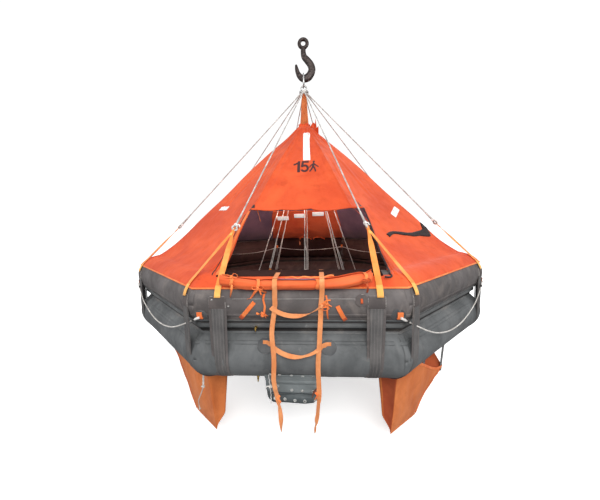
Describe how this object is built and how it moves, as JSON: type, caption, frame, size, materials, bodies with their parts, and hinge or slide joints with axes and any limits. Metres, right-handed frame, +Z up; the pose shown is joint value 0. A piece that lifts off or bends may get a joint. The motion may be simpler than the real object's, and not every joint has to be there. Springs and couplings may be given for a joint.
{
  "type": "davit-launched inflatable life raft",
  "caption": "Octagonal inflatable life raft hanging from a davit hook: stacked buoyancy tubes, orange tent canopy with an entrance, rope and webbing bridle, ladder and water pockets.",
  "frame": {"origin": "centre of the eye of the hook that holds the raft up; everything hangs below it", "axes": "+Z up along the lifting line, -Y out of the open front entrance, +X to the right of someone looking at that entrance"},
  "size_m": [3.41, 3.3841, 3.5635],
  "materials": {
    "tube_rubber": "matt rubber-coated fabric, dusty grey",
    "canopy_cloth": "orange coated canopy cloth, soft sheen",
    "pocket_cloth": "orange uncoated bag cloth",
    "orange_webbing": "woven orange webbing",
    "white_rope": "laid white synthetic rope, greyed",
    "forged_steel": "black forged steel",
    "galvanised_steel": "galvanised steel",
    "floor_rubber": "black rubber-coated floor",
    "pouch_fabric": "dark grey coated fabric",
    "bottle_paint": "grey paint"
  },
  "bodies": {
    "root": {"davit_hook": "forged_steel", "lifting_link": "galvanised_steel", "lifting_shackle": "galvanised_steel", "canopy_lift_strap": "orange_webbing", "suspension_rope_front_left": "white_rope", "suspension_rope_front_right": "white_rope", "suspension_rope_right_front": "white_rope", "suspension_rope_right_back": "white_rope", "suspension_rope_back_right": "white_rope", "suspension_rope_back_left": "white_rope", "suspension_rope_left_back": "white_rope", "suspension_rope_left_front": "white_rope", "webbing_legs_front_left": "orange_webbing", "webbing_legs_front_right": "orange_webbing", "webbing_legs_right_front": "orange_webbing", "webbing_legs_right_back": "orange_webbing", "webbing_legs_back_right": "orange_webbing", "webbing_legs_back_left": "orange_webbing", "webbing_legs_left_back": "orange_webbing", "webbing_legs_left_front": "orange_webbing", "upper_tube": "tube_rubber", "lower_tube": "tube_rubber", "floor": "floor_rubber", "canopy_panel_front": "canopy_cloth", "canopy_panel_front_right": "canopy_cloth", "canopy_panel_right": "canopy_cloth", "canopy_panel_back_right": "canopy_cloth", "canopy_panel_back": "canopy_cloth", "canopy_panel_back_left": "canopy_cloth", "canopy_panel_left": "canopy_cloth", "canopy_panel_front_left": "canopy_cloth", "canopy_collar": "canopy_cloth", "front_curtain_roll": "canopy_cloth", "rear_curtain": "canopy_cloth", "inner_rope_front": "white_rope", "inner_rope_front_right": "white_rope", "inner_rope_right": "white_rope", "inner_rope_back_right": "white_rope", "inner_rope_back": "white_rope", "inner_rope_back_left": "white_rope", "inner_rope_left": "white_rope", "inner_rope_front_left": "white_rope", "water_pocket_front_right": "pocket_cloth", "water_pocket_front_left": "pocket_cloth", "water_pocket_back_left": "pocket_cloth", "water_pocket_back_right": "pocket_cloth", "front_ladder": "orange_webbing", "rear_ladder": "orange_webbing", "gas_bottle_pouch": "pouch_fabric", "gas_bottle": "bottle_paint", "lifeline_front_right": "white_rope", "lifeline_front_left": "white_rope", "lifeline_back_left": "white_rope", "lifeline_back_right": "white_rope", "lifeline_right": "white_rope", "lifeline_left": "white_rope"}
  },
  "joints": []
}
